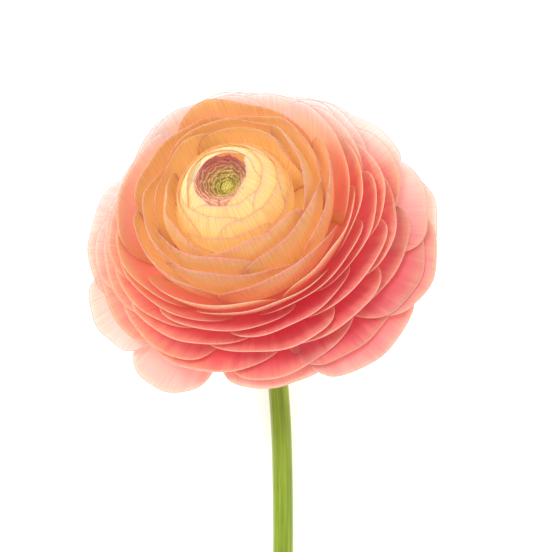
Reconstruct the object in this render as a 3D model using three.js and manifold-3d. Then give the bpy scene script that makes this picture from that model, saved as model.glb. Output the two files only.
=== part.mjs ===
// A cut ranunculus flower lying on a table: a stem with a nodding neck, a calyx of five sepals, and a dome of
// about 100 thin petals in three colours round a green heart. Millimetres, +Z up. The stem lies along -Y.
//
// The bloom is worked out in its own frame: the receptacle, where every petal is rooted, is the origin, +Z is the
// bloom's axis and "height" and "radius" are measured along and from it. Turn 0 is the side nearest the table.
import * as THREE from "three";
import { mergeVertices } from "three/addons/utils/BufferGeometryUtils.js";
import Module from "manifold-3d";

const wasm = await Module();
wasm.setup();

const RAD = Math.PI / 180;
const GOLDEN_ANGLE = -137.508 * RAD; // from each petal to the next one out, clockwise

// ---- How the flower lies ----
const RECEPTACLE = new THREE.Vector3(-1.125, 41.66, 20.5); // from the middle of the space the flower takes up
const AXIS_TILT = 34 * RAD; // of the bloom's axis, from the vertical
const AXIS_HEADING = new THREE.Vector3(-0.47, 0.883, 0).normalize(); // the way it tilts, seen from above

// ---- Blades ----
const THICKNESS = 0.7;
const CLEAR = 0.8; // between two neighbouring nodes

// ---- The ball of closed petals, and the funnel in its top ----
const BALL = { petals: 18, radius: 14.3, centre: 16.6, core: 12.4, rimAngle: [24, 84], lift: 0.08, halfTurn: [62, 44] };
const FUNNEL = { petals: 11, radius: [2.5, 6.2], rimHeight: [25.4, 29.4], floor: 21.5, halfTurn: 46 };
const HEART = { radius: 1.65, top: 25.7 };
const BALL_CROWDING = 1.3; // above 1, the ball's rims lie closer together near the top

// ---- Whorls of open petals, from the ball outwards: where the rim is, how it leans from the axis (degrees),
// ---- where the petal is rooted, how it leaves its root, and the turn from its middle to either side.
const CUP = {
  petals: 16,
  turn: 90, // of the first petal
  seed: 40,
  first: { rim: [14.8, 25.4], lean: -30, root: [5, 3], rise: 72, halfTurn: 50 },
  last: { rim: [25.4, 20.9], lean: 8, root: [9, 0.8], rise: 84, halfTurn: 42 },
  sunkTo: 0.62,
};
const SKIRT = {
  petals: 42,
  turn: 50,
  seed: 60,
  first: { rim: [27.6, 20.8], lean: 12, root: [10, 0.2], rise: 82, halfTurn: 38 },
  last: { rim: [38.2, 1.6], lean: 92, root: [8, -2], rise: 84, halfTurn: 30 },
  sunkTo: 0.68,
};
const RIM_ARCH = 0.15; // share of a petal's length by which its rounded rim falls away to its sides
const RIM_TILT = 0.09; // and by which one side of the rim stands higher than the other
const WAVE = 0.55; // height of the slow waves that neighbouring petals share
const TUCK = 0.8; // how far a petal's one side lies over its neighbour, and the other under

// The outermost petals, each set by hand, in tiers that lie over each other: where the petal's middle is, its
// rim, the turn to either side, and its tier.
const GUARD = { lean: 104, root: [6, -1.9], rise: 86, sunkTo: 0.3, tierDrop: 1.15, seed: 574 };
const GUARDS = [
  { turn: 357, rim: [38.2, -1.6], halfTurn: 27, tier: 0 },
  { turn: 29, rim: [40.8, -1.8], halfTurn: 26, tier: 1 },
  { turn: 57, rim: [41.4, -0.8], halfTurn: 29, tier: 0 },
  { turn: 87.5, rim: [42.1, -2.4], halfTurn: 21, tier: 1 },
  { turn: 117, rim: [40.6, -5.4], halfTurn: 19.5, tier: 2 },
  { turn: 168, rim: [39, -1.6], halfTurn: 28, tier: 0 },
  { turn: 203, rim: [44.3, -1.8], halfTurn: 28, tier: 1 },
  { turn: 229, rim: [44.4, -0.6], halfTurn: 25, tier: 0 },
  { turn: 252, rim: [42.6, -1.8], halfTurn: 21, tier: 1 },
  { turn: 289, rim: [39.8, -0.4], halfTurn: 26, tier: 0 },
  { turn: 324, rim: [40.4, -2.6], halfTurn: 27, tier: 1 },
  { turn: 194, rim: [40.6, -0.2], halfTurn: 24, tier: -1 },
  { turn: 222, rim: [42.2, 0.4], halfTurn: 24, tier: -1 },
  { turn: 252, rim: [41.4, 0.9], halfTurn: 24, tier: -1 },
];

// The side of the bloom that meets the table is pressed flat over this turn either way.
const PRESS = { turn: 34 * RAD, radius: 41, power: 3 };

const STEM = { radius: 2.4, end: -118, pithRadius: 1.0, pithDepth: 7, sides: 12, steps: 28 };
const CALYX = { sepals: 5, length: 12.5, half: 4, radius: 3.3 };

// ---------------------------------------------------------------- small helpers

const mix = (a, b, share) => a + (b - a) * share;

// A repeatable draw between -1 and 1 for petal n.
function draw(n, salt) {
  const x = Math.sin(n * 12.9898 + salt * 78.233) * 43758.5453;
  return 2 * (x - Math.floor(x)) - 1;
}

function solidOf(geometry) {
  const bare = geometry.clone();
  bare.deleteAttribute("normal");
  bare.deleteAttribute("uv");
  const merged = mergeVertices(bare, 1e-4);
  return new wasm.Manifold(
    new wasm.Mesh({
      numProp: 3,
      vertProperties: merged.attributes.position.array,
      triVerts: new Uint32Array(merged.index.array),
    }),
  );
}

// The largest body of a solid, as a geometry: a scrap that a cut leaves loose is dropped.
function geometryOf(solid) {
  const body = solid.decompose().reduce((a, b) => (a.volume() > b.volume() ? a : b));
  const mesh = body.getMesh();
  const geometry = new THREE.BufferGeometry();
  geometry.setAttribute("position", new THREE.Float32BufferAttribute(mesh.vertProperties, 3));
  geometry.setIndex(new THREE.BufferAttribute(mesh.triVerts, 1));
  geometry.computeVertexNormals();
  return geometry;
}

// How far the table pushes the bloom's underside up, at this radius and turn. It hangs on place alone, so that
// petals that lie over each other move together.
function press(radius, turn) {
  const away = Math.abs(Math.atan2(Math.sin(turn), Math.cos(turn)));
  if (away >= PRESS.turn) return 0;
  const gap = Math.cos(away) - Math.cos(PRESS.turn);
  return Math.tan(AXIS_TILT) * PRESS.radius * gap * Math.min(1.2, radius / PRESS.radius) ** PRESS.power;
}

function bloomPoint(radius, turn, height) {
  return new THREE.Vector3(
    radius * Math.cos(turn),
    radius * Math.sin(turn),
    height + press(radius, turn),
  );
}

// A closed solid of revolution from [radius, height] points that start and end on the axis.
function turned(points, segments = 20) {
  const geometry = new THREE.LatheGeometry(points.map(([r, h]) => new THREE.Vector2(r, h)), segments);
  const at = geometry.attributes.position;
  for (let i = 0; i < at.count; i++) {
    const [x, y, z] = [at.getX(i), at.getY(i), at.getZ(i)];
    const p = bloomPoint(Math.hypot(x, z), Math.atan2(-z, x), y);
    at.setXYZ(i, p.x, p.y, p.z);
  }
  return solidOf(geometry);
}

// A thin blade either side of the surface that pointAt(across, along) gives, with across from -1 to 1 and along
// from 0 to 1. Both faces are split into the same triangles.
function blade(pointAt, across, along, thickness = THICKNESS) {
  const position = [];
  const step = 1e-3;
  for (const side of [1, -1])
    for (let j = 0; j <= along; j++)
      for (let i = 0; i <= across; i++) {
        const [u, v] = [(2 * i) / across - 1, j / along];
        const du = pointAt(u + step, v).sub(pointAt(u - step, v));
        const dv = pointAt(u, v + step).sub(pointAt(u, v - step));
        const normal = du.cross(dv).normalize();
        const p = pointAt(u, v).addScaledVector(normal, (side * thickness) / 2);
        position.push(p.x, p.y, p.z);
      }
  const row = across + 1;
  const under = row * (along + 1);
  const index = [];
  const quad = (a, b, c, d) => index.push(a, b, c, a, c, d);
  for (let j = 0; j < along; j++)
    for (let i = 0; i < across; i++) {
      const a = j * row + i;
      index.push(a, a + 1, a + row + 1, a, a + row + 1, a + row);
      const b = a + under;
      index.push(b, b + row + 1, b + 1, b, b + row, b + row + 1);
    }
  for (let i = 0; i < across; i++) {
    quad(i + 1, i, i + under, i + 1 + under);
    const top = along * row + i;
    quad(top, top + 1, top + 1 + under, top + under);
  }
  for (let j = 0; j < along; j++) {
    const left = j * row;
    quad(left, left + row, left + row + under, left + under);
    const right = left + across;
    quad(right + row, right, right + under, right + row + under);
  }
  const geometry = new THREE.BufferGeometry();
  geometry.setAttribute("position", new THREE.Float32BufferAttribute(position, 3));
  geometry.setIndex(index);
  return solidOf(geometry);
}

// ---------------------------------------------------------------- open petals

// The curve that a petal follows from its root to its rim: [radius, height] at a share of its length.
function petalCurve(p) {
  const [r0, h0] = p.root;
  const [r3, h3] = p.rim;
  const reach = 0.4 * Math.hypot(r3 - r0, h3 - h0);
  const curve = new THREE.CubicBezierCurve(
    new THREE.Vector2(r0, h0),
    new THREE.Vector2(r0 + reach * Math.sin(p.rise * RAD), h0 + reach * Math.cos(p.rise * RAD)),
    new THREE.Vector2(r3 - reach * Math.sin(p.lean * RAD), h3 - reach * Math.cos(p.lean * RAD)),
    new THREE.Vector2(r3, h3),
  );
  return (v) => curve.getPoint(v);
}

// Outward from a petal's curve, where it runs from a to b.
const perpendicular = (a, b) => new THREE.Vector2(b.y - a.y, a.x - b.x).normalize();

function between(whorl, share) {
  const { first, last } = whorl;
  return {
    rim: [mix(first.rim[0], last.rim[0], share), mix(first.rim[1], last.rim[1], share)],
    root: [mix(first.root[0], last.root[0], share), mix(first.root[1], last.root[1], share)],
    lean: mix(first.lean, last.lean, share),
    rise: mix(first.rise, last.rise, share),
    halfTurn: mix(first.halfTurn, last.halfTurn, share),
  };
}

// The surface of a petal: a narrow claw that opens into a fan with an arched, waved rim. The seed is for its draws.
function petalSurface(p, turn, order, seed, from) {
  const curve = petalCurve(p);
  const tilt = RIM_TILT * draw(seed, 6);
  const tuck = TUCK * (1 + 0.5 * draw(seed, 7));
  return (u, v) => {
    const along = mix(from, 1 - RIM_ARCH * (0.6 * u * u + 1.2 * u ** 8) + tilt * u, v);
    const at = curve(along);
    const outward = perpendicular(at, curve(along + 0.01)).multiplyScalar(tuck * u * along ** 3);
    const fan = 0.55 + 0.45 * Math.min(1, along / 0.55) ** 2;
    const here = turn + u * p.halfTurn * RAD * fan;
    const wave = WAVE * along ** 4 * (Math.sin(5 * here + 3 * order) + 0.6 * Math.sin(9 * here - 3 * order));
    return bloomPoint(at.x + outward.x + 0.4 * wave, here, at.y + outward.y + wave);
  };
}

function whorlBlades(whorl) {
  return Array.from({ length: whorl.petals }, (_, n) => {
    const order = n / (whorl.petals - 1);
    const turn = whorl.turn * RAD + n * GOLDEN_ANGLE + 0.08 * draw(n, 1);
    const surface = petalSurface(between(whorl, order), turn, order, whorl.seed + n, whorl.sunkTo - 0.04);
    return blade(surface, 5, 2);
  });
}

// The face of a core that a whorl stands out of, from its first petal to its last.
function coreFace(whorl, steps) {
  return Array.from({ length: steps + 1 }, (_, i) => {
    const { x, y } = petalCurve(between(whorl, i / steps))(whorl.sunkTo);
    return [x, y];
  });
}

// Points along a petal's outer face, moved out by a distance, for the solids that lie against it.
function outside(p, outBy, shares) {
  const curve = petalCurve(p);
  return shares.map((v) => {
    const out = curve(v).addScaledVector(perpendicular(curve(v - 0.01), curve(v + 0.01)), outBy);
    return [out.x, out.y];
  });
}

// ---------------------------------------------------------------- nodes of the bloom

// Closed petals wrapped over a ball like scales, each rim further from the top than the one it covers.
function ballBlades() {
  return Array.from({ length: BALL.petals }, (_, n) => {
    const order = n / (BALL.petals - 1);
    const rim = mix(...BALL.rimAngle, order ** BALL_CROWDING);
    const half = mix(...BALL.halfTurn, order) * RAD;
    const tilt = mix(2, 7, Math.min(1, 3 * order)) * draw(n, 7);
    const surface = (u, v) => {
      const below = mix(26, mix(4, 10, order) * u * u + tilt * u, v);
      const angle = (rim + below) * RAD;
      const radius = BALL.radius - BALL.lift * below;
      return bloomPoint(
        radius * Math.sin(angle),
        n * GOLDEN_ANGLE + u * half,
        BALL.centre + radius * Math.cos(angle),
      );
    };
    return blade(surface, 5, 2, 0.6);
  });
}

// Small petals that stand in the funnel and close over the heart.
function funnelBlades() {
  return Array.from({ length: FUNNEL.petals }, (_, n) => {
    const order = n / (FUNNEL.petals - 1);
    const radius = mix(...FUNNEL.radius, order);
    const rim = mix(...FUNNEL.rimHeight, order);
    const surface = (u, v) =>
      bloomPoint(
        radius + 0.7 - 0.7 * v * v,
        n * GOLDEN_ANGLE + u * FUNNEL.halfTurn * RAD,
        mix(FUNNEL.floor - 1, rim - 0.5 * u * u, v),
      );
    return blade(surface, 3, 2, 0.6);
  });
}

const arc = (radius, centre, from, to, steps) =>
  Array.from({ length: steps + 1 }, (_, i) => {
    const angle = mix(from, to, i / steps) * RAD;
    return [radius * Math.sin(angle), centre + radius * Math.cos(angle)];
  });

function innerPetals() {
  const { core, centre } = BALL;
  const profile = [
    [0, FUNNEL.floor],
    [FUNNEL.radius[1] + 1.2, FUNNEL.floor],
    [FUNNEL.radius[1] + 1.6, 26.8],
    ...arc(core, centre, 40, 160, 6),
    [0, centre - core],
  ];
  return turned(profile.reverse()).add(wasm.Manifold.union([...ballBlades(), ...funnelBlades()]));
}

const BALL_HOLLOW = BALL.radius + 0.75 + CLEAR; // radius of the hollow that the ball sits in

function middlePetals() {
  const profile = [
    [0, BALL.centre - BALL_HOLLOW],
    ...arc(BALL_HOLLOW, BALL.centre, 165, 125, 3),
    ...coreFace(CUP, 2),
    ...outside(CUP.last, 0.2, [0.42, 0.28, 0.14]),
    [0, 0.2],
  ];
  return turned(profile.reverse()).add(wasm.Manifold.union(whorlBlades(CUP)));
}

function guardBlades() {
  return GUARDS.map((guard, n) => {
    const root = [GUARD.root[0], GUARD.root[1] - GUARD.tierDrop * guard.tier];
    const surface = petalSurface({ ...GUARD, ...guard, root }, guard.turn * RAD, 1, GUARD.seed + n, GUARD.sunkTo);
    return blade(surface, 5, 3);
  });
}

function outerPetals() {
  const profile = [
    [0, -0.6],
    ...outside(CUP.last, CLEAR + THICKNESS / 2, [0.1, 0.22, 0.34, 0.46]),
    ...coreFace(SKIRT, 4),
    [26, -0.2],
    [17, -3.8],
    [0, -4.4],
  ];
  const blades = [...whorlBlades(SKIRT), ...guardBlades()];
  return turned(profile.reverse()).add(wasm.Manifold.union(blades));
}

function heart() {
  return turned([
    [0, FUNNEL.floor + 0.3],
    [HEART.radius * 0.8, FUNNEL.floor + 0.3],
    [HEART.radius, 23.6],
    [HEART.radius * 0.85, HEART.top - 0.7],
    [HEART.radius * 0.45, HEART.top - 0.15],
    [0, HEART.top],
  ], 12);
}

// ---------------------------------------------------------------- calyx and stem

function calyx() {
  const receptacle = turned([
    [0, -7.4],
    [2.7, -7.4],
    [CALYX.radius, -6.4],
    [CALYX.radius, -5.1],
    [0, -5.1],
  ], 16);
  const sepals = Array.from({ length: CALYX.sepals }, (_, n) => {
    const turn = n * 72 * RAD + 0.3;
    const surface = (u, v) => {
      const width = CALYX.half * Math.sin(mix(28, 172, v) * RAD) + 0.3;
      const radius = 1.8 + (CALYX.length - 1.8) * v;
      const droop = -5.8 - 3.6 * v * v + 0.25 * u * u * Math.sin(v * 180 * RAD);
      const centre = bloomPoint(radius, turn, droop);
      return centre.add(new THREE.Vector3(-Math.sin(turn), Math.cos(turn), 0).multiplyScalar(u * width));
    };
    return blade(surface, 4, 4, 0.7);
  });
  return receptacle.add(wasm.Manifold.union(sepals));
}

// The bloom's frame on the table: x runs from the axis towards the table, z along the axis.
const axis = AXIS_HEADING.clone().multiplyScalar(Math.sin(AXIS_TILT)).setZ(Math.cos(AXIS_TILT));
const toTable = AXIS_HEADING.clone().multiplyScalar(Math.cos(AXIS_TILT)).setZ(-Math.sin(AXIS_TILT));
const bloomFrame = new THREE.Matrix4()
  .makeBasis(toTable, axis.clone().cross(toTable), axis)
  .setPosition(RECEPTACLE);

// The neck leaves the receptacle along the bloom's axis and bends until the stem lies on the table.
function stemCurve() {
  const rest = STEM.radius + 0.06;
  const at = RECEPTACLE;
  const start = new THREE.Vector3(0, 0, -7.8).applyMatrix4(bloomFrame);
  const neck = start.clone().addScaledVector(axis, -6);
  return new THREE.CatmullRomCurve3([
    start,
    neck,
    new THREE.Vector3(at.x + 4.2, at.y - 18.5, 5.4),
    new THREE.Vector3(at.x + 4.9, at.y - 30, rest + 0.4),
    new THREE.Vector3(at.x + 5.9, at.y - 44, rest),
    new THREE.Vector3(at.x + 6.3, at.y - 72, rest),
    new THREE.Vector3(at.x + 5.4, at.y - 98, rest),
    new THREE.Vector3(at.x + 3, at.y + STEM.end, rest),
  ]);
}

function stem() {
  const curve = stemCurve();
  const section = new THREE.Shape(
    Array.from({ length: STEM.sides }, (_, i) => {
      const angle = (i / STEM.sides) * 2 * Math.PI;
      return new THREE.Vector2(STEM.radius * Math.cos(angle), STEM.radius * Math.sin(angle));
    }),
  );
  const tube = solidOf(
    new THREE.ExtrudeGeometry(section, { steps: STEM.steps, bevelEnabled: false, extrudePath: curve }),
  );
  const end = curve.getPoint(1);
  const heading = curve.getTangent(1);
  const pith = new THREE.CylinderGeometry(STEM.pithRadius, STEM.pithRadius, 2 * STEM.pithDepth, 10);
  pith.applyQuaternion(new THREE.Quaternion().setFromUnitVectors(new THREE.Vector3(0, 1, 0), heading));
  pith.translate(end.x, end.y, end.z);
  // The knife passes across the end on a slant.
  const knife = new THREE.BoxGeometry(12, 12, 12);
  knife.translate(0, -6, 0).rotateZ(-32 * RAD).translate(end.x, end.y + 1.6, end.z);
  return tube.subtract(solidOf(pith)).subtract(solidOf(knife));
}

// ---------------------------------------------------------------- the flower

// Everything under the table's face, z 0, seen from the bloom's frame.
const table = new THREE.BoxGeometry(200, 200, 40).translate(0, 0, -20);
const underTable = solidOf(table.applyMatrix4(bloomFrame.clone().invert()));

const flower = new THREE.Group();
const bloom = new THREE.Group();
bloom.applyMatrix4(bloomFrame);
flower.add(bloom);

function addNode(parent, name, solid, color, roughness) {
  const material = new THREE.MeshStandardMaterial({ color, roughness, metalness: 0 });
  const mesh = new THREE.Mesh(geometryOf(solid), material);
  mesh.name = name;
  parent.add(mesh);
}

addNode(bloom, "heart", heart(), 0xb9b545, 0.7);
addNode(bloom, "inner_petals", innerPetals(), 0xf3cf6b, 0.6);
addNode(bloom, "middle_petals", middlePetals(), 0xf2a55c, 0.6);
addNode(bloom, "outer_petals", outerPetals().subtract(underTable), 0xe8716a, 0.6);
addNode(bloom, "calyx", calyx(), 0x8fa44a, 0.7);
addNode(flower, "stem", stem(), 0x8aa02c, 0.5);

export default flower;
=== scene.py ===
"""A cut ranunculus lying on a white table, in soft studio light, seen from straight above."""

import math
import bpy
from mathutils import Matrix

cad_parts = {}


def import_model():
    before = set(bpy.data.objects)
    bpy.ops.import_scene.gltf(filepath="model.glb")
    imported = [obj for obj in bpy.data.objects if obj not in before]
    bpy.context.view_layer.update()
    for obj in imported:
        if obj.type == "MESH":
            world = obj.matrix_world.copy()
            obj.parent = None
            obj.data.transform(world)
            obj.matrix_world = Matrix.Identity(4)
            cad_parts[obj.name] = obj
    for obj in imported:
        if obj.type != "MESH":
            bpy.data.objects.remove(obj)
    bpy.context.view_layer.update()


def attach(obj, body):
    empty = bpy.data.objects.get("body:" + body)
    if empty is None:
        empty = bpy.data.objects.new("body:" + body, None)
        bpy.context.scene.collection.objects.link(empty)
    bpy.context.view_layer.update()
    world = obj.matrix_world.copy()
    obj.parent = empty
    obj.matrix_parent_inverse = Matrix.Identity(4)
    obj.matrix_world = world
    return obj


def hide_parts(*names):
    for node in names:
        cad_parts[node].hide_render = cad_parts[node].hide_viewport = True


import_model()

from types import SimpleNamespace

import bpy
import numpy as np

# In the tables below, lengths are millimetres and angles degrees unless math.radians says otherwise. The
# bloom has its own frame, as in the CAD model: the receptacle is its origin, "height" runs along the
# bloom's axis, and turn 0 is the side nearest the table.
MM = 0.001
GOLDEN_ANGLE = math.radians(-137.508)

RECEPTACLE = np.array([-1.125, 41.66, 20.5])
AXIS_TILT = math.radians(34)
AXIS_HEADING = np.array([-0.47, 0.883, 0]) / np.hypot(0.47, 0.883)
PRESS = {"turn": math.radians(34), "radius": 41, "power": 3}  # where the table pushes the far rims up
LOWEST = 0.2  # the middle of no petal lies lower than this over the table

# ---- The petals, by the CAD model's own rules.
# Where two numbers stand together, they are the first petal's and the last's. The ball's rims, arches,
# tilts and depth are degrees round its centre.
BALL = {
    "petals": 18,
    "radius": 14.3,
    "centre": 16.6,
    "rim": (24, 84),
    "arch": (2, 9),
    "corner": 22,
    "tilt": (5, 7),
    "depth": 66,
    "lift": 0.045,
    "lip": 0.1,
    "half_turn": (78, 52),
}
FUNNEL = {
    "petals": 24,
    "radius": (2.0, 6.25),
    "rim_height": (25.3, 29.4),
    "floor": 20.5,
    "closing": 0.9,
    "crinkle": 0.14,
    "tilt": 0.25,
    "half_turn": 70,
}
CUP = {
    "petals": 16,
    "turn": math.radians(90),
    "seed": 40,
    "first": {"rim": (14.8, 25.4), "lean": -30, "root": (5, 3), "rise": 72, "half_turn": 54},
    "last": {"rim": (25.4, 20.9), "lean": 8, "root": (9, 0.8), "rise": 84, "half_turn": 44},
}
SKIRT = {
    "petals": 42,
    "turn": math.radians(50),
    "seed": 60,
    "first": {"rim": (27.6, 20.8), "lean": 12, "root": (10, 0.2), "rise": 82, "half_turn": 40},
    "last": {"rim": (38.2, 1.6), "lean": 92, "root": (8, -2), "rise": 84, "half_turn": 31},
}
# What the outermost petals share, and then each of them. A petal of a higher tier lies further under the
# bloom. "pale" is how faded the petal is at its one side and at its other.
GUARD = {"lean": 104, "root": (6, -1.9), "rise": 86, "tier_drop": 1.15, "seed": 574}
GUARDS = [
    {"turn": 357, "rim": (38.2, -1.6), "half_turn": 27, "tier": 0, "pale": (0.9, 0.9)},
    {"turn": 29, "rim": (40.8, -1.8), "half_turn": 26, "tier": 1, "pale": (0.8, 0.5)},
    {"turn": 57, "rim": (41.4, -0.8), "half_turn": 29, "tier": 0, "pale": (0.1, 0)},
    {"turn": 87.5, "rim": (42.1, -2.4), "half_turn": 21, "tier": 1, "pale": (0.6, 0.9)},
    {"turn": 117, "rim": (40.6, -5.4), "half_turn": 19.5, "tier": 2, "pale": (0.7, 0.6)},
    {"turn": 168, "rim": (39, -1.6), "half_turn": 28, "tier": 0, "pale": (0.5, 0.4)},
    {"turn": 203, "rim": (44.3, -1.8), "half_turn": 28, "tier": 1, "pale": (0.45, 0.3)},
    {"turn": 229, "rim": (44.4, -0.6), "half_turn": 25, "tier": 0, "pale": (0.3, 0.3)},
    {"turn": 252, "rim": (42.6, -1.8), "half_turn": 21, "tier": 1, "pale": (0.6, 1)},
    {"turn": 289, "rim": (39.8, -0.4), "half_turn": 26, "tier": 0, "pale": (0.7, 0.6)},
    {"turn": 324, "rim": (40.4, -2.6), "half_turn": 27, "tier": 1, "pale": (0.7, 0.9)},
    {"turn": 194, "rim": (40.6, -0.2), "half_turn": 24, "tier": -1, "pale": (0, 0.1)},
    {"turn": 222, "rim": (42.2, 0.4), "half_turn": 24, "tier": -1, "pale": (0.1, 0.2)},
    {"turn": 252, "rim": (41.4, 0.9), "half_turn": 24, "tier": -1, "pale": (0.1, 1)},
]
BALL_LEAN = {"turn": math.radians(190), "angle": 3.5}  # the ball closes this much further over on this side
BALL_CROWDING = 1.3  # above 1, the ball's rims lie closer together near the top
BALL_HALF_WIDTH, FUNNEL_HALF_WIDTH = 13.0, 4.0
RIM_ARCH = 0.15  # share of a petal's length by which its rounded rim falls away to its sides
RIM_TILT = 0.09  # and by which one side of the rim stands higher than the other
WAVE = 0.55  # height of the slow waves that neighbouring petals share
TUCK = 0.8  # how far a petal's one side lies over its neighbour, and the other under
REACH = 0.4  # how long a petal's curve keeps the direction of its ends, as a share of the petal's length
TURN_SCATTER = 0.08  # how far, in radians, a petal strays from the golden angle

# ---- What the fine petals add to the CAD model's blades.
TIER_GAP = 0.35  # each tier of the thin outermost petals lies this far under the one above it
RUFFLE = 0.12  # height of the small waves in a rim
NOTCH = 0.007  # share of a petal's length by which its rim wanders
THICKNESS = {"body": 0.3, "rim": 0.12}
BALL_THICKNESS = {"body": 0.2, "rim": 0.1}
RIM_TAPER = 3  # a petal grows from its rim's thickness to its body's over this width
# How wide a petal is low down, as a share of its width at the rim, for a whorl's first petal and its
# last, and the share of its length by which it has its full width.
FAN = {"first": 0.55, "last": 1.15, "full_at": 0.55}
GUARD_START = 0.02  # the outermost petals are drawn from nearer their roots than the others

# ---- What the meshes tell the materials.
MARGIN_SPAN = 20  # the margin counts up to this far from the petal's edge
ACROSS_SPAN = 60  # and the place across the petal runs over this width
BLUSH_TURN = math.radians(186)  # the side of the bloom that has the deepest red, partly the petals' own red and partly painted shade
PALE_TURN = math.radians(335)  # and the side whose petals have almost none, partly painted light shining through them from behind
# The order that the materials read, from the first petal to the last of each kind.
FUNNEL_ORDERS, BALL_ORDERS = (0, 0.22), (0.34, 1)
CUP_ORDERS = (0, 1)
SKIRT_ORDERS, GUARD_ORDERS = (0, 0.85), (0.9, 1)

# ---- The green parts.
# The heart's dome is narrower than the heart by core_inset. The carpels stand on it, with their middles
# "inset" inside the heart's outline and at most "lowest" under its top, and lean more the further out
# they are.
HEART = {"radius": 1.65, "base": 21.8, "top": 25.7, "core_inset": 0.25}
CARPELS = {
    "count": 34,
    "radius": 0.34,
    "length": 1.25,
    "scatter": 0.15,
    "lean": (6, 80),
    "inset": 0.3,
    "lowest": 1.9,
}
STEM = {"radius": 2.4, "end": -118, "groove": 0.04, "ribs": 9, "rib_height": 0.018, "rib_twist": 0.012}
# The slanting cut at the stem's end: how far its middle is from the end, and the radii of the rings in
# its face from the skin to the lip of the pith. Then how wide the hollow of the pith is and how deep its
# rings lie.
CUT = {"slant": math.radians(32), "set_back": 1.6, "face": (2.25, 1.7, 1.1, 0.98)}
PITH = {"radius": 0.93, "depths": (1.5, 3.5, 5.5, 7)}
CALYX = {
    "sepals": 5,
    "first_turn": 0.3,
    "start": 1.8,
    "length": 12.5,
    "half": 4.6,
    "height": -5.6,
    "droop": 3.6,
    "cup": 0.9,
    "keel": 0.35,
}
SEPAL_THICKNESS = {"body": 0.45, "rim": 0.16}
STREAK_LENGTH = 200  # the stem's streaks are told how far along they are as a share of this
# The receptacle from the neck up to the petals' roots: radius, height, and how pale it is there.
RECEPTACLE_PROFILE = [
    (0.3, -7.6, 0),
    (2.3, -7.55, 0),
    (2.75, -7.2, 0),
    (3.1, -6.7, 0),
    (3.3, -6.1, 0),
    (3.5, -5.5, 0.1),
    (4.6, -4.4, 0.5),
    (6.4, -2.8, 0.8),
    (7.2, -1.4, 0.8),
    (0.3, -1.2, 0.8),
]


def mix(a, b, share):
    return a + (b - a) * share


def draw(n, salt):
    """A repeatable draw between -1 and 1 for petal n."""
    x = math.sin(n * 12.9898 + salt * 78.233) * 43758.5453
    return 2 * (x - math.floor(x)) - 1


# ---------------------------------------------------------------- the bloom's frame

axis = AXIS_HEADING * math.sin(AXIS_TILT) + np.array([0, 0, math.cos(AXIS_TILT)])
to_table = AXIS_HEADING * math.cos(AXIS_TILT) - np.array([0, 0, math.sin(AXIS_TILT)])
BLOOM_BASIS = np.stack([to_table, np.cross(axis, to_table), axis])


def press(radius, turn):
    """How far the table pushes the bloom's underside up, at this radius and turn."""
    away = np.abs(np.arctan2(np.sin(turn), np.cos(turn)))
    gap = np.cos(away) - math.cos(PRESS["turn"])
    share = np.minimum(1.2, radius / PRESS["radius"]) ** PRESS["power"]
    return np.where(away < PRESS["turn"], math.tan(AXIS_TILT) * PRESS["radius"] * gap * share, 0)


def bloom_points(radius, turn, height):
    """Places in the bloom's frame as millimetres in the row frame, none of them under the table."""
    height = height + press(radius, turn)
    local = np.stack([radius * np.cos(turn), radius * np.sin(turn), height + 0 * turn], axis=-1)
    places = RECEPTACLE + local @ BLOOM_BASIS
    places[..., 2] = np.maximum(places[..., 2], LOWEST)
    return places


# ---------------------------------------------------------------- meshes


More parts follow.
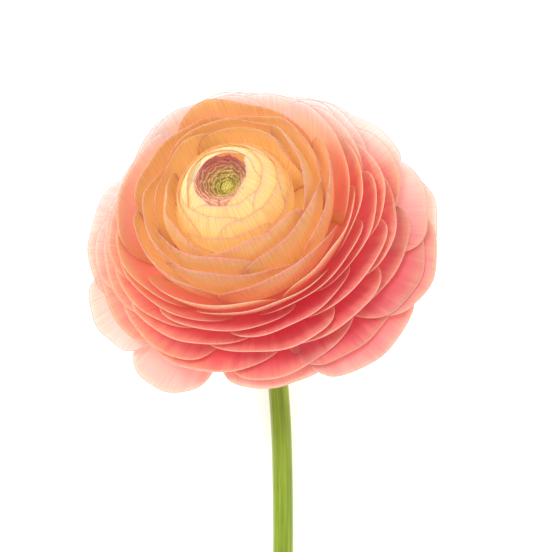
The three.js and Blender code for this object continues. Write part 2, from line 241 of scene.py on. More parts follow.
class Sheets:
    """Thin closed sheets gathered into one mesh, with the attributes that the petal materials read."""

    def __init__(self):
        self.points, self.faces, self.smooth, self.petal, self.back = [], [], [], [], []
        self.count = 0

    def add(self, grid, across_mm, order, thickness=THICKNESS):
        """grid is rows of places from root to rim. across_mm is half the sheet's width."""
        rows, columns = grid.shape[:2]
        normal = np.cross(np.gradient(grid, axis=1), np.gradient(grid, axis=0))
        normal /= np.maximum(np.linalg.norm(normal, axis=-1, keepdims=True), 1e-9)
        u = np.linspace(-1, 1, columns)[None, :] + np.zeros((rows, 1))
        v = np.linspace(0, 1, rows)[:, None] + np.zeros((1, columns))
        length = np.linalg.norm(np.diff(grid[:, columns // 2], axis=0), axis=-1).sum()
        margin = np.minimum((1 - v) * length, (1 - np.abs(u)) * across_mm)
        share = np.clip(margin / RIM_TAPER, 0, 1)[..., None]
        half = (thickness["rim"] + (thickness["body"] - thickness["rim"]) * share) / 2
        marks = np.stack(
            [u * across_mm / ACROSS_SPAN + 0.5, v, order + 0 * u, np.clip(margin / MARGIN_SPAN, 0, 1)],
            axis=-1,
        )
        number = np.arange(rows * columns).reshape(rows, columns)
        upper, lower = self.count + number, self.count + rows * columns + number
        quads = [
            [upper[:-1, :-1], upper[:-1, 1:], upper[1:, 1:], upper[1:, :-1]],
            [lower[:-1, :-1], lower[1:, :-1], lower[1:, 1:], lower[:-1, 1:]],
        ]
        quads = [np.stack(corners, axis=-1).reshape(-1, 4) for corners in quads]
        ring = np.concatenate([number[0, :-1], number[:-1, -1], number[-1, :0:-1], number[:0:-1, 0]])
        after = np.roll(ring, -1)
        top, under = self.count, self.count + rows * columns
        edge = np.stack([ring + top, ring + under, after + under, after + top], axis=-1)
        self.points += [(grid + normal * half).reshape(-1, 3), (grid - normal * half).reshape(-1, 3)]
        self.faces += [*quads, edge]
        self.smooth += [np.ones(len(quads[0]) + len(quads[1]), bool), np.zeros(len(edge), bool)]
        self.petal += [marks.reshape(-1, 4)] * 2
        self.back += [np.ones(rows * columns), np.zeros(rows * columns)]
        self.count += 2 * rows * columns

    def build(self, name, material, slot, node):
        mesh = bpy.data.meshes.new(name)
        points = np.concatenate(self.points) * MM
        mesh.from_pydata(points.tolist(), [], np.concatenate(self.faces).tolist())
        mesh.polygons.foreach_set("use_smooth", np.concatenate(self.smooth))
        petal = mesh.attributes.new("petal", "FLOAT_COLOR", "POINT")
        petal.data.foreach_set("color", np.concatenate(self.petal).astype(np.float32).ravel())
        back = mesh.attributes.new("back", "FLOAT", "POINT")
        back.data.foreach_set("value", np.concatenate(self.back).astype(np.float32))
        local = (points / MM - RECEPTACLE) @ BLOOM_BASIS.T
        turn = np.arctan2(local[:, 1], local[:, 0])
        for key, side in (("blush", BLUSH_TURN), ("pale", PALE_TURN)):
            tint = mesh.attributes.new(key, "FLOAT", "POINT")
            tint.data.foreach_set("value", (0.5 + 0.5 * np.cos(turn - side)).astype(np.float32))
        return place(name, mesh, material, node)


def place(name, mesh, material, node):
    """A piece of the flower: shown in place of its CAD node, with its material."""
    mesh.materials.append(material)
    mesh.update()
    piece = bpy.data.objects.new(name, mesh)
    bpy.context.scene.collection.objects.link(piece)
    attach(piece, "root")
    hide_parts(node)
    return piece


# ---------------------------------------------------------------- petals


def between(whorl, share):
    """The measures of the petal that stands at this share of the way through a whorl."""
    first, last = whorl["first"], whorl["last"]
    petal = {key: mix(first[key], last[key], share) for key in ("lean", "rise", "half_turn")}
    for key in ("rim", "root"):
        petal[key] = tuple(mix(a, b, share) for a, b in zip(first[key], last[key]))
    return petal


def petal_curve(petal, t):
    """Radius and height at share t of the curve from a petal's root to its rim."""
    root, rim = np.array(petal["root"]), np.array(petal["rim"])
    reach = REACH * np.linalg.norm(rim - root)
    rise, lean = math.radians(petal["rise"]), math.radians(petal["lean"])
    leave = root + reach * np.array([math.sin(rise), math.cos(rise)])
    arrive = rim - reach * np.array([math.sin(lean), math.cos(lean)])
    t = t[..., None]
    curve = (1 - t) ** 3 * root + 3 * (1 - t) ** 2 * t * leave + 3 * (1 - t) * t**2 * arrive + t**3 * rim
    return curve[..., 0], curve[..., 1]


def open_petal(petal, turn, order, seed, start=0.12, across=28, along=20):
    """The fan-shaped sheet of an open petal, with its arched and faintly ruffled rim."""
    u = np.linspace(-1, 1, across + 1)[None, :]
    v = np.linspace(0, 1, along + 1)[:, None]
    wander = NOTCH * (np.sin(4 * u + 6 * draw(seed, 2)) + 0.6 * np.sin(9 * u + 6 * draw(seed, 3)))
    rim = 1 - RIM_ARCH * (0.6 * u**2 + 1.2 * u**8) + RIM_TILT * draw(seed, 6) * u + wander
    t = start + (rim - start) * (1 - (1 - v) ** 1.25)
    radius, height = petal_curve(petal, t)
    next_radius, next_height = petal_curve(petal, t + 0.01)
    lean = np.arctan2(next_radius - radius, next_height - height)
    root_fan = mix(FAN["first"], FAN["last"], order**2)
    fan = root_fan + (1 - root_fan) * np.minimum(1, t / FAN["full_at"]) ** 2
    here = turn + u * math.radians(petal["half_turn"]) * fan
    wave = WAVE * t**4 * (np.sin(5 * here + 3 * order) + 0.6 * np.sin(9 * here - 3 * order))
    ruffle = RUFFLE * t**8 * np.sin((11 + 3 * draw(seed, 4)) * here + 6 * draw(seed, 5))
    out = TUCK * u * t**3 * (1 + 0.5 * draw(seed, 7)) + ruffle
    radius = radius + 0.4 * wave + out * np.cos(lean)
    height = height + wave - out * np.sin(lean)
    half_width = float(petal["rim"][0] * math.radians(petal["half_turn"]))
    return bloom_points(radius, here, height), half_width


def add_whorl(sheets, whorl, orders):
    """A whorl's petals by the golden angle, changing evenly from its first to its last."""
    for n in range(whorl["petals"]):
        share = n / (whorl["petals"] - 1)
        turn = whorl["turn"] + n * GOLDEN_ANGLE + TURN_SCATTER * draw(n, 1)
        grid, half_width = open_petal(between(whorl, share), turn, share, whorl["seed"] + n)
        sheets.add(grid, half_width, mix(*orders, share))


def ball_petal(n, share, across=30, along=18):
    """A closed petal, wrapped over the ball like a scale, one side of its rim higher than the other."""
    u = np.linspace(-1, 1, across + 1)[None, :]
    v = np.linspace(0, 1, along + 1)[:, None]
    tilt = mix(*BALL["tilt"], min(1, 3 * share)) * draw(n, 7)
    waves = 0.8 * np.sin(5 * u + 6 * draw(n, 8)) + 0.3 * np.sin(12 * u)
    arch = mix(*BALL["arch"], share) * u**2 + BALL["corner"] * u**8 + tilt * u + waves
    below = mix(BALL["depth"], arch, 1 - (1 - v) ** 1.4)
    angle = np.radians(mix(*BALL["rim"], share**BALL_CROWDING) + below)
    lip = BALL["lip"] * np.clip(1 - (below - arch) / 6, 0, 1) ** 2
    radius = BALL["radius"] - BALL["lift"] * below + lip + 0.15 * u
    turn = n * GOLDEN_ANGLE + u * math.radians(mix(*BALL["half_turn"], share))
    facing = np.clip(np.cos(turn - BALL_LEAN["turn"]), 0, 1)
    angle = angle - math.radians(BALL_LEAN["angle"]) * facing * (1 - share) ** 6
    grid = bloom_points(radius * np.sin(angle), turn, BALL["centre"] + radius * np.cos(angle))
    return grid, BALL_HALF_WIDTH


def funnel_petal(n, share, across=60, along=10):
    """A small petal that stands in the funnel and closes over the heart."""
    u = np.linspace(-1, 1, across + 1)[None, :]
    v = np.linspace(0, 1, along + 1)[:, None]
    crinkle = np.sin(9 * u + 6 * draw(n, 9)) + 0.7 * np.sin(17 * u + 6 * draw(n, 10))
    crinkle = crinkle + 0.5 * np.sin(29 * u + n)
    uneven = FUNNEL["crinkle"] * crinkle + FUNNEL["tilt"] * draw(n, 11) * u
    rim = mix(*FUNNEL["rim_height"], share) - 0.5 * u**2 + uneven
    height = mix(FUNNEL["floor"], rim, v)
    closing = FUNNEL["closing"] * share * (1 - v**2)
    radius = mix(*FUNNEL["radius"], share) + closing + 0.1 * v**2 * crinkle + 0.12 * u
    turn = n * GOLDEN_ANGLE + u * math.radians(FUNNEL["half_turn"])
    return bloom_points(radius, turn, height + 0 * u), FUNNEL_HALF_WIDTH


# ---------------------------------------------------------------- materials

VEIN_SPACING = 0.3
PAINTED_GLOW = 0.3  # painted glow: emission on the petals that stands in for the light that petals packed this close pass on to each other
FUNNEL_PAINTED_GLOW = 0.55  # more of the painted glow in the narrow funnel

# Colours deep down, over the body, near the rim and at the very edge, from a whorl's first petal (0) to
# its last (1). The deep colour is partly painted shade. The outer petals' colours run with the blush
# instead, from the palest side of the bloom to the reddest, whose red is partly painted shade.
PETAL_COLORS = {
    "inner_petals": {
        "deep": {0: "f0dc70", 0.22: "ecc088", 0.34: "eeca6c", 0.7: "f2ce74", 1: "f2d080"},
        "body": {0: "faf0a0", 0.16: "f4e0a8", 0.34: "f4dc98", 0.7: "f4d690", 1: "f4d494"},
        "rim": {0: "f4e890", 0.1: "f4dca8", 0.24: "f0c8ac", 0.34: "f0ccae", 0.7: "f0cc9e", 1: "eabc96"},
        "edge": {0: "8c7a30", 0.1: "a06040", 0.2: "b45860", 0.26: "bc706c", 0.34: "cc8c80", 1: "c88478"},
    },
    "middle_petals": {
        "deep": {0: "e8ba6a", 1: "e4ac6e"},
        "body": {0: "e6b878", 1: "e2b07e"},
        "rim": {0: "e6aa8c", 1: "e6a290"},
        "edge": {0: "cc8880", 1: "cc8480"},
    },
    "outer_petals": {
        "deep": {0: "f2ccb8", 0.2: "f0b4a0", 0.4: "ea9080", 0.6: "e2746a", 0.8: "de686a", 1: "d44654"},
        "body": {0: "f2cec4", 0.2: "f0baae", 0.4: "eca494", 0.6: "e88e82", 0.8: "e47e7e", 1: "dc686e"},
        "rim": {0: "f6d8d0", 0.2: "f4cabc", 0.4: "f2ba9e", 0.6: "f2ac8e", 0.8: "f0a088", 1: "ee9486"},
        "edge": {0: "d4847e", 0.4: "d8746e", 0.7: "ec9a8c", 1: "f6b4a6"},
    },
}
# painted shade a little way in from each funnel petal's rim, from the first petal to the last
FUNNEL_SHADE = {0: "94842c", 0.1: "b08448", 0.22: "c47c70"}
FUNNEL_FLUSH = "b83048"
CUP_PINK, CUP_GOLD = "eca090", "f0d090"
SKIRT_ORANGE = "eeb27a"
# Paler faces on the pale side: partly the petals' own faded colour, partly painted light shining through
# them from behind.
FADED_AND_BACKLIT = {0.05: "f6dab0", 0.3: "f4dcc6", 0.6: "f0e0d6", 1: "f0e6e0"}
FADED_AND_BACKLIT_RIM = "f4eeec"
OUTERMOST = "f0dad0"
PETAL_FOOT = "e4e0b4"
GREEN_CUT = "dfe6b0"

# How the kinds of petal differ. From the edge inward, in millimetres: where the rim's colour ends
# ("rim") and how unevenly ("wander"), where the deep colour, partly painted shade under the neighbouring
# petals, is reached ("deep"), and where the dusky edge line ends ("edge"). Then how deep light goes in,
# how much of the painted glow (emission that stands in for light passed between petals) shows at the edge
# and further in, how strong the veins are, and between which shares of a petal's length the pale foot of
# its back ends.
PETAL_KINDS = {
    "inner_petals": {
        "rim": 2.2,
        "wander": 1.2,
        "deep": 14,
        "edge": 0.6,
        "depth": 0.3,
        "glow": (0.5, 1),
        "veins": 0.24,
        "foot": (0, 0.05),
    },
    "middle_petals": {
        "rim": 3.0,
        "wander": 3.8,
        "deep": 16,
        "edge": 0.9,
        "depth": 0.7,
        "glow": (0.3, 1),
        "veins": 0.26,
        "foot": (0.15, 0.4),
    },
    "outer_petals": {
        "rim": 4.8,
        "wander": 5.1,
        "deep": 8,
        "edge": 0.55,
        "depth": 0.8,
        "glow": (0.2, 0.9),
        "veins": 0.18,
        "foot": (0.12, 0.5),
    },
}


def srgb(code):
    """A colour written as the usual six hexadecimal digits, as linear light."""
    parts = [int(code[i : i + 2], 16) / 255 for i in (0, 2, 4)]
    return [p / 12.92 if p <= 0.04045 else ((p + 0.055) / 1.055) ** 2.4 for p in parts] + [1]


class Shader:
    """A short way to build one material's nodes. A colour is given as its six digits."""

    def __init__(self, name, roughness, **constants):
        self.material = bpy.data.materials.new(name)
        self.material.use_nodes = True
        self.tree = self.material.node_tree
        self.surface = self.tree.nodes["Principled BSDF"]
        self.surface.inputs["Roughness"].default_value = roughness
        for socket, value in constants.items():
            self.join(value, self.surface.inputs[socket.replace("_", " ")])

    def node(self, kind, settings=None, **inputs):
        node = self.tree.nodes.new(kind)
        for key, value in (settings or {}).items():
            setattr(node, key, value)
        for key, value in inputs.items():
            self.join(value, node.inputs[key])
        return node

    def join(self, value, socket):
        if isinstance(value, bpy.types.NodeSocket):
            self.tree.links.new(value, socket)
        else:
            socket.default_value = srgb(value) if isinstance(value, str) else value

    def attribute(self, name):
        return self.node("ShaderNodeAttribute", {"attribute_name": name})

    def math(self, operation, a, b):
        node = self.node("ShaderNodeMath", {"operation": operation})
        self.join(a, node.inputs[0])
        self.join(b, node.inputs[1])
        return node.outputs[0]

    def times(self, value, *others):
        """The product of all the values."""
        for other in others:
            value = self.math("MULTIPLY", value, other)
        return value

    def ease(self, value, low, high, start=0.0, end=1.0):
        """start below low, end above high, and a smooth step between."""
        node = self.node("ShaderNodeMapRange", {"interpolation_type": "SMOOTHSTEP"}, Value=value)
        for key, number in (("From Min", low), ("From Max", high), ("To Min", start), ("To Max", end)):
            node.inputs[key].default_value = number
        return node.outputs[0]

    def blend(self, share, a, b, mode="MIX"):
        """a where share is 0, and b where it is 1."""
        node = self.node("ShaderNodeMix", {"data_type": "RGBA", "blend_type": mode})
        for socket, value in zip((node.inputs[0], node.inputs[6], node.inputs[7]), (share, a, b)):
            self.join(value, socket)
        return node.outputs[2]

    def ramp(self, value, stops):
        """The colours in stops, each at its place, blended evenly between."""
        node = self.node("ShaderNodeValToRGB", None, Fac=value)
        elements = node.color_ramp.elements
        while len(elements) < len(stops):
            elements.new(1)
        for element, (position, code) in zip(elements, stops.items()):
            element.position = position
            element.color = srgb(code)
        return node.outputs[0]

    def combine(self, x, y, z):
        return self.node("ShaderNodeCombineXYZ", None, X=x, Y=y, Z=z).outputs[0]

    def noise(self, vector, scale, detail=2.0):
        return self.node("ShaderNodeTexNoise", None, Vector=vector, Scale=scale, Detail=detail).outputs[0]

    def grain(self, scale):
        """Noise that is the same in every direction."""
        return self.noise(self.node("ShaderNodeTexCoord").outputs["Object"], scale, 3.0)

    def bump(self, height, strength, distance):
        node = self.node("ShaderNodeBump", None, Height=height, Strength=strength, Distance=distance)
        self.join(node.outputs[0], self.surface.inputs["Normal"])

    def color(self, value):
        self.join(value, self.surface.inputs["Base Color"])


def petal_marks(shader):
    """What a petal's mesh says of each place, as sockets by name."""
    petal = shader.attribute("petal")
    parts = shader.node("ShaderNodeSeparateColor", None, Color=petal.outputs["Color"])
    marks = SimpleNamespace(across=parts.outputs[0], along=parts.outputs[1], order=parts.outputs[2])
    marks.margin = shader.times(petal.outputs["Alpha"], MARGIN_SPAN)
    marks.back = shader.attribute("back").outputs["Fac"]
    marks.face = shader.math("SUBTRACT", 1.0, marks.back)
    marks.blush = shader.attribute("blush").outputs["Fac"]
    marks.pale = shader.attribute("pale").outputs["Fac"]
    return marks


def strokes(shader, marks, count, stretch):
    """Noise in strokes along each petal, other ones for each petal."""
    across, along = shader.times(marks.across, count), shader.times(marks.along, stretch)
    return shader.noise(shader.combine(across, along, shader.times(marks.order, 300)), 1.0)


def petal_material(name):
    """Soft veined petals, tinted from the rim inward to a deep colour that is partly painted shade, with a
    dusky edge line and a painted glow: emission that stands in for the light passed between them.
    """
    kind = PETAL_KINDS[name]
    shader = Shader(
        name,
        0.55,
        Subsurface_Weight=1.0,
        Subsurface_Radius=(1.0, 0.85, 0.75),
        Subsurface_Scale=kind["depth"] * MM,
        Sheen_Weight=0.12,
        Sheen_Roughness=0.4,
        Specular_IOR_Level=0.35,
        Emission_Strength=FUNNEL_PAINTED_GLOW if name == "inner_petals" else PAINTED_GLOW,
    )
    marks = petal_marks(shader)
    # on the outer petals the red side's deeper colours are partly painted shade
    run = marks.blush if name == "outer_petals" else marks.order
    tone = {key: shader.ramp(run, stops) for key, stops in PETAL_COLORS[name].items()}

    fine = strokes(shader, marks, ACROSS_SPAN / VEIN_SPACING, 1.3)
    broad = shader.math("SUBTRACT", strokes(shader, marks, 24, 1.2), 0.5)
    marks.uneven = shader.math("ADD", marks.margin, shader.times(broad, kind["wander"]))
    body = shader.blend(shader.ease(marks.uneven, 0.0, kind["rim"]), tone["rim"], tone["body"])
    # the deep colour lies where the petal runs under its neighbours: partly the petal's own deeper tone,
    # partly painted shade
    body = shader.blend(shader.ease(marks.uneven, kind["deep"] * 0.3, kind["deep"]), body, tone["deep"])

    line = shader.ease(marks.margin, kind["edge"] * 0.1, kind["edge"], 0.7, 0)
    # painted glow: emission that grows from the edge inward, standing in for light the petals pass on to
    # each other
    painted_glow_share = shader.ease(marks.margin, 0, 8, *kind["glow"])
    if name == "inner_petals":
        body = funnel_tones(shader, marks, body, tone["edge"])
        line = shader.times(line, shader.ease(marks.order, 0.24, 0.32))
        painted_glow_share = shader.times(painted_glow_share, shader.ease(marks.order, 0.2, 0.3, 1, PAINTED_GLOW / FUNNEL_PAINTED_GLOW))
    elif name == "middle_petals":
        body = cup_tones(shader, marks, body)
    else:
        body = skirt_tones(shader, marks, body)
    body = shader.blend(line, body, tone["edge"])

    foot = shader.times(shader.ease(marks.along, *kind["foot"], 0.8, 0), shader.ease(marks.order, 0.5, 0.9))
    body = shader.blend(shader.times(foot, marks.back), body, PETAL_FOOT)
    veins = shader.ease(fine, 0.35, 0.6, 1.0, 0.0)
    body = shader.blend(shader.times(veins, kind["veins"]), body, tone["edge"], "MULTIPLY")
    shader.color(body)
    shader.join(shader.blend(painted_glow_share, "000000", body), shader.surface.inputs["Emission Color"])
    shader.bump(fine, 0.35, 0.3 * MM)
    return shader.material


def funnel_tones(shader, marks, body, edge):
    """The funnel's colours: a crimson flush on the pale side, painted shade a little way in from each rim,
    and a line at each rim.
    """
    flush = shader.times(
        shader.ease(marks.order, 0.05, 0.2),
        shader.ease(marks.order, 0.22, 0.3, 1, 0),
        shader.ease(marks.pale, 0.6, 0.95),
        shader.ease(marks.margin, 0.1, 1.6, 0.9, 0.3),
    )
    body = shader.blend(flush, body, FUNNEL_FLUSH)
    funnel = shader.ease(marks.order, 0.2, 0.26, 1, 0)
    # painted shade: darker a little way in from each rim, less of it on the red side
    funnel_shade = shader.times(
        funnel,
        shader.ease(marks.uneven, 0.2, 0.8, 0, 0.8),
        shader.ease(marks.blush, 0.6, 0.95, 1, 0.45),
    )
    body = shader.blend(funnel_shade, body, shader.ramp(marks.order, FUNNEL_SHADE))
    return shader.blend(shader.times(funnel, shader.ease(marks.margin, 0.04, 0.2, 0.8, 0)), body, edge)


def cup_tones(shader, marks, body):
    """The cup's colours: pink backs on the pale side, and golden light inside."""
    pink = shader.times(shader.ease(marks.order, 0.3, 0.8, 0, 0.75), shader.ease(marks.pale, 0.5, 0.8))
    body = shader.blend(shader.times(pink, marks.back), body, CUP_PINK)
    return shader.blend(shader.times(marks.face, 0.6), body, CUP_GOLD)


def skirt_tones(shader, marks, body):
    """The skirt's colours: orange by the cup, paler faces on the pale side (partly faded, partly painted
    light from behind), and pale outermost petals.
    """
    young = shader.times(
        shader.ease(marks.order, 0.03, 0.34, 0.85, 0),
        shader.ease(marks.blush, 0.1, 0.6, 0.35, 1),
        shader.ease(marks.margin, 1.5, 6, 1, 0.35),
    )
    body = shader.blend(young, body, SKIRT_ORANGE)
    faded_and_backlit = shader.ramp(marks.order, FADED_AND_BACKLIT)
    faded_and_backlit = shader.blend(shader.ease(marks.margin, 1.5, 8, 0.9, 0), faded_and_backlit, FADED_AND_BACKLIT_RIM)
    facing = shader.times(marks.face, shader.ease(marks.pale, 0.58, 0.93, 0, 0.9))
    body = shader.blend(facing, body, faded_and_backlit)
    outermost = shader.ease(marks.order, 0.9, 1, 0, 0.92)
    outermost = shader.times(outermost, shader.ease(marks.margin, 3, 16, 1, 0.45))
    return shader.blend(outermost, body, OUTERMOST)


def green_material(name, colors, streaks, roughness):
    """Plant green with fine lengthwise streaks, from a light, a middle and a dark green. Where the attribute
    "skin" marks a cut, it is pale."""
    shader = Shader(
        name,
        roughness,
        Subsurface_Weight=0.5,
        Subsurface_Radius=(0.7, 1.0, 0.25),
        Subsurface_Scale=1.2 * MM,
        Specular_IOR_Level=0.45,
        Sheen_Weight=0.15,
    )
    light, middle, dark = colors
    skin = shader.node("ShaderNodeSeparateColor", None, Color=shader.attribute("skin").outputs["Color"])
    around, along, cut = skin.outputs[0], skin.outputs[1], skin.outputs[2]
    streak = shader.combine(shader.times(around, streaks), shader.times(along, 9), 0.0)
    fibres = shader.noise(streak, 1.0, 4.0)
    patches = shader.grain(70.0)
    tone = shader.ramp(fibres, {0.32: dark, 0.5: middle, 0.68: light})
    tone = shader.blend(shader.ease(patches, 0.42, 0.7, 0, 0.45), tone, light)
    tone = shader.blend(shader.ease(patches, 0.3, 0.45, 0.25, 0), tone, dark)
    shader.color(shader.blend(cut, tone, GREEN_CUT))
    shader.bump(fibres, 0.3, 0.3 * MM)
    return shader.material


def heart_material():
    """The grainy yellow green of the carpels."""
    shader = Shader(
        "heart_green",
        0.5,
        Subsurface_Weight=0.4,
        Subsurface_Radius=(0.8, 1, 0.3),
        Subsurface_Scale=0.5 * MM,
    )
    grain = shader.grain(1800.0)
    shader.color(shader.ramp(grain, {0.3: "c8b848", 0.5: "ecdc78", 0.7: "f8eca0"}))
    shader.bump(grain, 0.3, 0.2 * MM)
    return shader.material


# ---------------------------------------------------------------- the pieces


def inner_petals():
    sheets = Sheets()
    for n in range(FUNNEL["petals"]):
        share = n / (FUNNEL["petals"] - 1)
        grid, half = funnel_petal(n, share)
        sheets.add(grid, half, mix(*FUNNEL_ORDERS, share))
    for n in range(BALL["petals"]):
        share = n / (BALL["petals"] - 1)
        grid, half = ball_petal(n, share)
        sheets.add(grid, half, mix(*BALL_ORDERS, share), BALL_THICKNESS)
    sheets.build("inner_petals_fine", petal_material("inner_petals"), "inner_petals", "inner_petals")


def middle_petals():
    sheets = Sheets()
    add_whorl(sheets, CUP, CUP_ORDERS)
    sheets.build("middle_petals_fine", petal_material("middle_petals"), "middle_petals", "middle_petals")


def outer_petals():
    sheets = Sheets()
    add_whorl(sheets, SKIRT, SKIRT_ORDERS)
    for number, guard in enumerate(GUARDS):
        petal = {**GUARD, **guard}
        petal["root"] = (GUARD["root"][0], GUARD["root"][1] - GUARD["tier_drop"] * guard["tier"])
        petal["rim"] = (guard["rim"][0], guard["rim"][1] - TIER_GAP * (guard["tier"] + 1))
        turn = math.radians(guard["turn"])
        grid, half = open_petal(petal, turn, 1, GUARD["seed"] + number, GUARD_START, across=34)
        sheets.add(grid, half, mix(*GUARD_ORDERS, np.linspace(*guard["pale"], grid.shape[1])))
    sheets.build("outer_petals_fine", petal_material("outer_petals"), "outer_petals", "outer_petals")


class Skins:
    """Closed solids gathered into one mesh, with the attribute "skin" that the green materials read: how far
    round and how far along the place is, and how much of it is cut."""

    def __init__(self):
        self.points, self.faces, self.marks = [], [], []
        self.count = 0

    def add(self, points, faces, marks):
        self.points.append(points.reshape(-1, 3))
        self.faces += [[self.count + corner for corner in face] for face in faces]
        self.marks.append(np.broadcast_to(marks, points.shape).reshape(-1, 3))
        self.count += points.size // 3

    def add_rings(self, grid, marks=(0, 0, 0)):
        """A solid through rows of places that are rings, closed at both ends."""
        rows, columns = grid.shape[:2]
        number = np.arange(rows * columns).reshape(rows, columns)
        after = np.roll(number, -1, axis=1)
        faces = np.stack([number[:-1], after[:-1], after[1:], number[1:]], axis=-1).reshape(-1, 4).tolist()
        self.add(grid, [*faces, number[0, ::-1].tolist(), number[-1].tolist()], marks)

    def add_sheet(self, grid, half_width, thickness):
        """A thin blade through rows of places from root to tip, marked by how far across and along it is."""
        sheets = Sheets()
        sheets.add(grid, half_width, 0.0, thickness)
        rows, columns = grid.shape[:2]
        u = np.linspace(0, 1, columns)[None, :] + np.zeros((rows, 1))
        v = np.linspace(0, 1, rows)[:, None] + np.zeros((1, columns))
        marks = np.stack([u, v, 0 * u], axis=-1).reshape(-1, 3)
        self.add(np.stack(sheets.points), np.concatenate(sheets.faces).tolist(), marks)

    def build(self, name, material, slot, node):
        mesh = bpy.data.meshes.new(name)
        mesh.from_pydata((np.concatenate(self.points) * MM).tolist(), [], self.faces)
        mesh.polygons.foreach_set("use_smooth", np.ones(len(self.faces), bool))
        marks = np.pad(np.concatenate(self.marks), ((0, 0), (0, 1)))
        skin = mesh.attributes.new("skin", "FLOAT_COLOR", "POINT")
        skin.data.foreach_set("color", marks.astype(np.float32).ravel())
        return place(name, mesh, material, node)


def ring_turns(count):
    return np.linspace(0, 2 * math.pi, count, endpoint=False)[None, :]


def heart():
    """The button of carpels: small blunt knobs set by the golden angle over a dome."""
    skins = Skins()
    turn = ring_turns(12)
    angle = np.linspace(0, math.pi / 2, 12)[:, None]
    radius = (HEART["radius"] - HEART["core_inset"]) * np.cos(angle) ** 0.6 + 0.02
    height = mix(HEART["base"], HEART["top"] - CARPELS["inset"], np.sin(angle))
    skins.add_rings(bloom_points(radius + 0 * turn, turn + 0 * radius, height))
    knob = np.linspace(0, math.pi, 9)[:, None]
    for n in range(CARPELS["count"]):
        lean = math.radians(mix(*CARPELS["lean"], (n / (CARPELS["count"] - 1)) ** 0.6))
        here = n * GOLDEN_ANGLE
        away = (HEART["radius"] - CARPELS["inset"]) * math.sin(lean) ** 0.8
        up = mix(HEART["top"] - CARPELS["lowest"], HEART["top"] - CARPELS["inset"], math.cos(lean))
        size = CARPELS["radius"] * (1 + CARPELS["scatter"] * draw(n, 21))
        x = away * math.cos(here) + size * np.sin(knob) * np.cos(turn)
        y = away * math.sin(here) + size * np.sin(knob) * np.sin(turn)
        z = up - size * CARPELS["length"] * np.cos(knob) + 0 * turn
        skins.add_rings(bloom_points(np.hypot(x, y), np.arctan2(y, x), z))
    skins.build("heart_fine", heart_material(), "heart", "heart")


def sepal(turn, number, across=14, along=22):
    """A pointed sepal, cupped across and bent back from the bloom, as rows of places."""
    u = np.linspace(-1, 1, across + 1)[None, :]
    v = np.linspace(0, 1, along + 1)[:, None]
    width = CALYX["half"] * np.sin(np.radians(mix(24, 176, v))) ** 0.9 + 0.12
    radius = mix(CALYX["start"], CALYX["length"], v)
    keel = CALYX["keel"] * np.exp(-((u / 0.12) ** 2)) * (1 - v)
    cup = CALYX["cup"] * u**2 * np.sin(v * math.pi)
    waves = 0.12 * np.sin(7 * v + 5 * u + number)
    height = CALYX["height"] - CALYX["droop"] * v**2 + cup - keel + waves
    x = radius * math.cos(turn) - u * width * math.sin(turn)
    y = radius * math.sin(turn) + u * width * math.cos(turn)
    return bloom_points(np.hypot(x, y), np.arctan2(y, x), height)


def calyx():
    """The receptacle and its five sepals."""
    skins = Skins()
    turn = ring_turns(40)
    profile = np.array(RECEPTACLE_PROFILE)
    radius = profile[:, :1] + 0.06 * np.cos(10 * turn)
    height, pale = profile[:, 1:2] + 0 * turn, profile[:, 2:] + 0 * turn
    marks = np.stack([turn / (2 * math.pi) + 0 * pale, 0 * pale, pale], axis=-1)
    skins.add_rings(bloom_points(radius, turn + 0 * radius, height), marks)
    for n in range(CALYX["sepals"]):
        grid = sepal(CALYX["first_turn"] + n * 2 * math.pi / CALYX["sepals"], n)
        skins.add_sheet(grid, CALYX["half"], SEPAL_THICKNESS)
    material = green_material("calyx_green", ("b9c276", "93a84c", "6f8a2c"), 22, 0.6)
    skins.build("calyx_fine", material, "calyx", "calyx")


def stem_route():
    """The points that the CAD stem's middle passes through."""
    at = RECEPTACLE
    rest = STEM["radius"] + 0.06
    start = at - 7.8 * axis
    return np.array([
        start,
        start - 6 * axis,
        [at[0] + 4.2, at[1] - 18.5, 5.4],
        [at[0] + 4.9, at[1] - 30, rest + 0.4],
        [at[0] + 5.9, at[1] - 44, rest],
        [at[0] + 6.3, at[1] - 72, rest],
        [at[0] + 5.4, at[1] - 98, rest],
        [at[0] + 3, at[1] + STEM["end"], rest],
    ])


def smooth_route(points, steps):
    """A centripetal Catmull-Rom curve through the points, with the same number of steps between each two."""
    ends = np.concatenate([[2 * points[0] - points[1]], points, [2 * points[-1] - points[-2]]])
    route = []
    for p0, p1, p2, p3 in zip(ends, ends[1:], ends[2:], ends[3:]):
        d0, d1, d2 = (math.sqrt(np.linalg.norm(b - a)) for a, b in ((p0, p1), (p1, p2), (p2, p3)))
        leave = d1 * ((p1 - p0) / d0 - (p2 - p0) / (d0 + d1) + (p2 - p1) / d1)
        arrive = d1 * ((p2 - p1) / d1 - (p3 - p1) / (d1 + d2) + (p3 - p2) / d2)
        t = np.linspace(0, 1, steps, endpoint=False)[:, None]
        cube = 2 * p1 - 2 * p2 + leave + arrive
        square = 3 * p2 - 3 * p1 - 2 * leave - arrive
        route.append(p1 + leave * t + square * t**2 + cube * t**3)
    return np.concatenate([*route, points[-1:]])


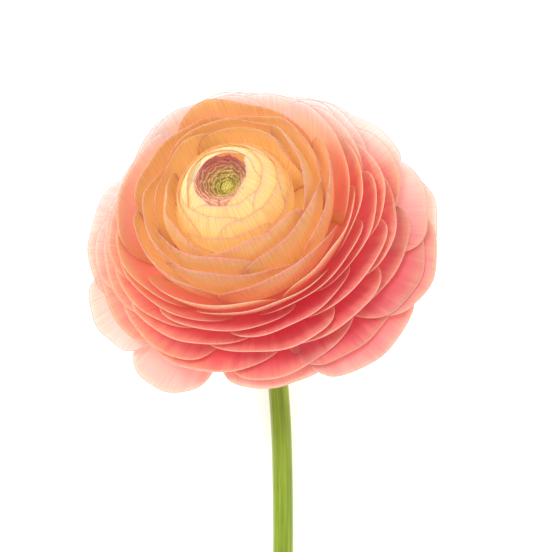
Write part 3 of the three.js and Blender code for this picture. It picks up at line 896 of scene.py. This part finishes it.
def stem():
    """The ribbed stem with its slanting cut and the hollow of its pith, as one run of rings."""
    middle = smooth_route(stem_route(), 26)
    heading = np.gradient(middle, axis=0)
    heading /= np.linalg.norm(heading, axis=1, keepdims=True)
    side = np.cross(heading, [0, 0, 1])
    side /= np.linalg.norm(side, axis=1, keepdims=True)
    up = np.cross(side, heading)
    turn = ring_turns(72)[0]
    length = np.concatenate([[0], np.cumsum(np.linalg.norm(np.diff(middle, axis=0), axis=1))])
    ribs = STEM["rib_height"] * np.cos(STEM["ribs"] * turn[None, :] + STEM["rib_twist"] * length[:, None])
    swell = 0.02 * np.sin(0.11 * length[:, None] + 2 * np.cos(turn[None, :]))
    radius = STEM["radius"] - STEM["groove"] + ribs + swell
    last = len(middle) - 1
    knife = np.array([math.sin(CUT["slant"]), math.cos(CUT["slant"]), 0])
    on_cut = middle[last] + np.array([0, CUT["set_back"], 0])
    rings, marks = [], []

    def ring(row, size):
        away = np.outer(np.cos(turn), side[row]) + np.outer(np.sin(turn), up[row])
        return middle[row] + np.broadcast_to(size, turn.shape)[:, None] * away

    def to_cut(places):
        """Places moved along the stem until they lie in the knife's plane."""
        return places + np.outer((on_cut - places) @ knife / (heading[last] @ knife), heading[last])

    def add(places, along, cut):
        rings.append(places)
        values = (turn / (2 * math.pi), np.full_like(turn, along), np.full_like(turn, cut))
        marks.append(np.stack(values, axis=-1))

    for row in range(last - 3):
        add(ring(row, radius[row]), length[row] / STREAK_LENGTH, 0)
    add(to_cut(ring(last, radius[last])), length[last] / STREAK_LENGTH, 0)
    for size in CUT["face"]:
        add(to_cut(ring(last, size)), length[last] / STREAK_LENGTH, 1)
    for depth in PITH["depths"]:
        add(ring(last, PITH["radius"]) - depth * heading[last], 0, 1)
    skins = Skins()
    skins.add_rings(np.stack(rings), np.stack(marks))
    material = green_material("stem_green", ("a4bc32", "8aa416", "74920a"), 24, 0.32)
    skins.build("stem_fine", material, "stem", "stem")


# ---------------------------------------------------------------- table, light and camera

# The photograph's size in pixels, where the receptacle is in it and how many pixels a millimetre is. The
# camera is "distance" above the level where that scale holds, in metres.
VIEW = {"width": 533, "height": 552, "receptacle_x": 256, "receptacle_y": 241, "scale": 4.325}
CAMERA = {"distance": 1.4, "level": 0.022}
SKY = 0.7
TABLE_GLOW = 0.42
LIGHTS = {
    "key": {"location": (-0.5, 0.45, 0.9), "size": 0.5, "power": 4.2},
    "fill": {"location": (0.7, -0.2, 0.8), "size": 0.8, "power": 1.5},
}


def table():
    """The white surface that the flower lies on."""
    bpy.ops.mesh.primitive_plane_add(size=6)
    floor = bpy.context.object
    floor.name = "table"
    shader = Shader("table_white", 0.8, Emission_Color="ffffff", Emission_Strength=TABLE_GLOW)
    shader.color("ffffff")
    floor.data.materials.append(shader.material)


def light(name, location, size, power, target=(0, 0.04, 0.02)):
    """A round soft light, turned towards the bloom."""
    data = bpy.data.lights.new(name, "AREA")
    data.shape = "DISK"
    data.size = size
    data.energy = power
    lamp = bpy.data.objects.new(name, data)
    bpy.context.scene.collection.objects.link(lamp)
    lamp.location = location
    away = np.array(location) - np.array(target)
    slope = math.atan2(math.hypot(away[0], away[1]), away[2])
    lamp.rotation_euler = (slope, 0, math.atan2(away[0], -away[1]))


def world(strength):
    sky = bpy.data.worlds.new("studio")
    sky.use_nodes = True
    sky.node_tree.nodes["Background"].inputs["Color"].default_value = (1, 1, 1, 1)
    sky.node_tree.nodes["Background"].inputs["Strength"].default_value = strength
    bpy.context.scene.world = sky


def camera():
    """A long lens that looks straight down and puts the receptacle where the photograph has it."""
    data = bpy.data.cameras.new("camera")
    lens = bpy.data.objects.new("camera", data)
    bpy.context.scene.collection.objects.link(lens)
    x = RECEPTACLE[0] + (VIEW["width"] / 2 - VIEW["receptacle_x"]) / VIEW["scale"]
    y = RECEPTACLE[1] - (VIEW["height"] / 2 - VIEW["receptacle_y"]) / VIEW["scale"]
    lens.location = (x * MM, y * MM, CAMERA["distance"] + CAMERA["level"])
    tall = VIEW["height"] / VIEW["scale"] * MM
    data.lens = data.sensor_width * CAMERA["distance"] / tall
    bpy.context.scene.camera = lens


camera()
inner_petals()
middle_petals()
outer_petals()
heart()
calyx()
stem()
table()
world(SKY)
for name, settings in LIGHTS.items():
    light(name, **settings)
bpy.context.scene.view_settings.view_transform = "Standard"
